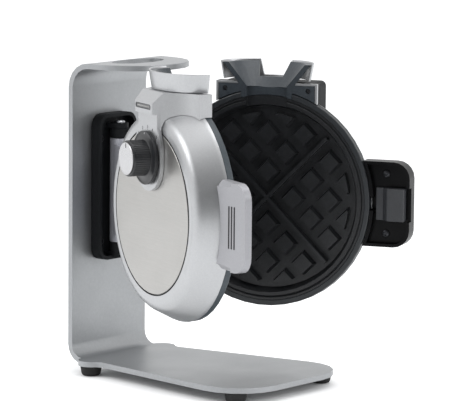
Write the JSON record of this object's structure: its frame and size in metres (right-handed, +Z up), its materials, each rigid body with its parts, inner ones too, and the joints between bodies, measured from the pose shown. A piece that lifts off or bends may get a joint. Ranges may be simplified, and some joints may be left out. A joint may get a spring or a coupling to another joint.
{
  "type": "vertical waffle maker",
  "caption": "Upright waffle maker: two round halves hinged on a C-shaped stand, with a pouring funnel on top, a browning knob and black and silver handles.",
  "frame": {"origin": "on the floor under the feet, in the middle of the open machine's box", "axes": "+X along the base away from the upright plate, +Y across towards the far half, +Z up"},
  "size_m": [0.2924, 0.2457, 0.3035],
  "materials": {
    "satin_aluminium": "satin, fine brushed grain",
    "silver_paint": "silver satin lacquer",
    "brushed_steel": "fine brushed",
    "zinc_steel": "plain bright zinc",
    "black_plastic": "fine satin texture",
    "slate_plastic": "satin",
    "dark_liner": "semi-matt",
    "non_stick": "black non-stick coating",
    "foot_rubber": "matt",
    "smoked_lens": "smoked clear",
    "heater_metal": "oxidised",
    "switch_brown": "moulded phenolic"
  },
  "bodies": {
    "stand": {"stand_frame": "satin_aluminium", "foot_rear_near": "foot_rubber", "foot_rear_far": "foot_rubber", "foot_front_near": "foot_rubber", "foot_front_far": "foot_rubber", "foot_screw_rear_near": "zinc_steel", "foot_screw_rear_far": "zinc_steel", "foot_screw_front_near": "zinc_steel", "foot_screw_front_far": "zinc_steel", "hinge_bracket": "black_plastic", "bracket_screw_1": "zinc_steel", "bracket_screw_2": "zinc_steel", "bracket_screw_3": "zinc_steel", "bracket_screw_4": "zinc_steel", "hinge_pin": "zinc_steel"},
    "near_half": {"near_hinge_arm": "silver_paint", "near_rim": "slate_plastic", "near_grid_plate": "non_stick", "near_heater": "heater_metal", "near_heat_shield": "zinc_steel", "near_housing": "silver_paint", "near_cover_plate": "brushed_steel", "near_funnel": "dark_liner", "near_funnel_screw_1": "zinc_steel", "near_funnel_screw_2": "zinc_steel", "near_spout": "silver_paint", "near_control_tower": "silver_paint", "near_indicator_lens": "smoked_lens", "near_indicator_lamp": "smoked_lens", "near_thermostat": "switch_brown", "near_handle": "silver_paint", "near_handle_screw_1": "zinc_steel", "near_handle_screw_2": "zinc_steel", "catch_hook": "zinc_steel"},
    "knob": {"control_knob": "black_plastic", "knob_cap": "brushed_steel", "knob_shaft": "zinc_steel"},
    "far_half": {"far_hinge_arm_upper": "black_plastic", "far_hinge_arm_lower": "black_plastic", "far_rim": "black_plastic", "far_grid_plate": "non_stick", "far_heater": "heater_metal", "far_heat_shield": "zinc_steel", "far_housing": "silver_paint", "far_cover_plate": "brushed_steel", "far_funnel": "dark_liner", "far_funnel_screw_1": "zinc_steel", "far_funnel_screw_2": "zinc_steel", "far_spout": "silver_paint", "far_tower_wall": "silver_paint", "terminal_cover": "black_plastic", "far_handle": "black_plastic", "far_handle_screw_1": "zinc_steel", "far_handle_screw_2": "zinc_steel"},
    "latch": {"latch_slide": "slate_plastic"}
  },
  "joints": [
    {"name": "near_half_swing", "type": "hinge", "parent": "stand", "child": "near_half", "pos_m": [-0.1282, 0.0075, 0.1735], "axis": [0, 0, 1], "range_deg": [-26, 24]},
    {"name": "far_half_swing", "type": "hinge", "parent": "stand", "child": "far_half", "pos_m": [-0.1282, 0.0075, 0.1735], "axis": [0, 0, 1], "range_deg": [-20, 30]},
    {"name": "knob_turn", "type": "hinge", "parent": "near_half", "child": "knob", "pos_m": [-0.01246, -0.09887, 0.224], "axis": [-0.4067, -0.9135, 0], "range_deg": [-43, 43]},
    {"name": "latch_slide_travel", "type": "slide", "parent": "far_half", "child": "latch", "axis": [0.9397, 0.342, 0], "range_m": [0, 0.004], "stiffness_N_per_m": 400}
  ]
}
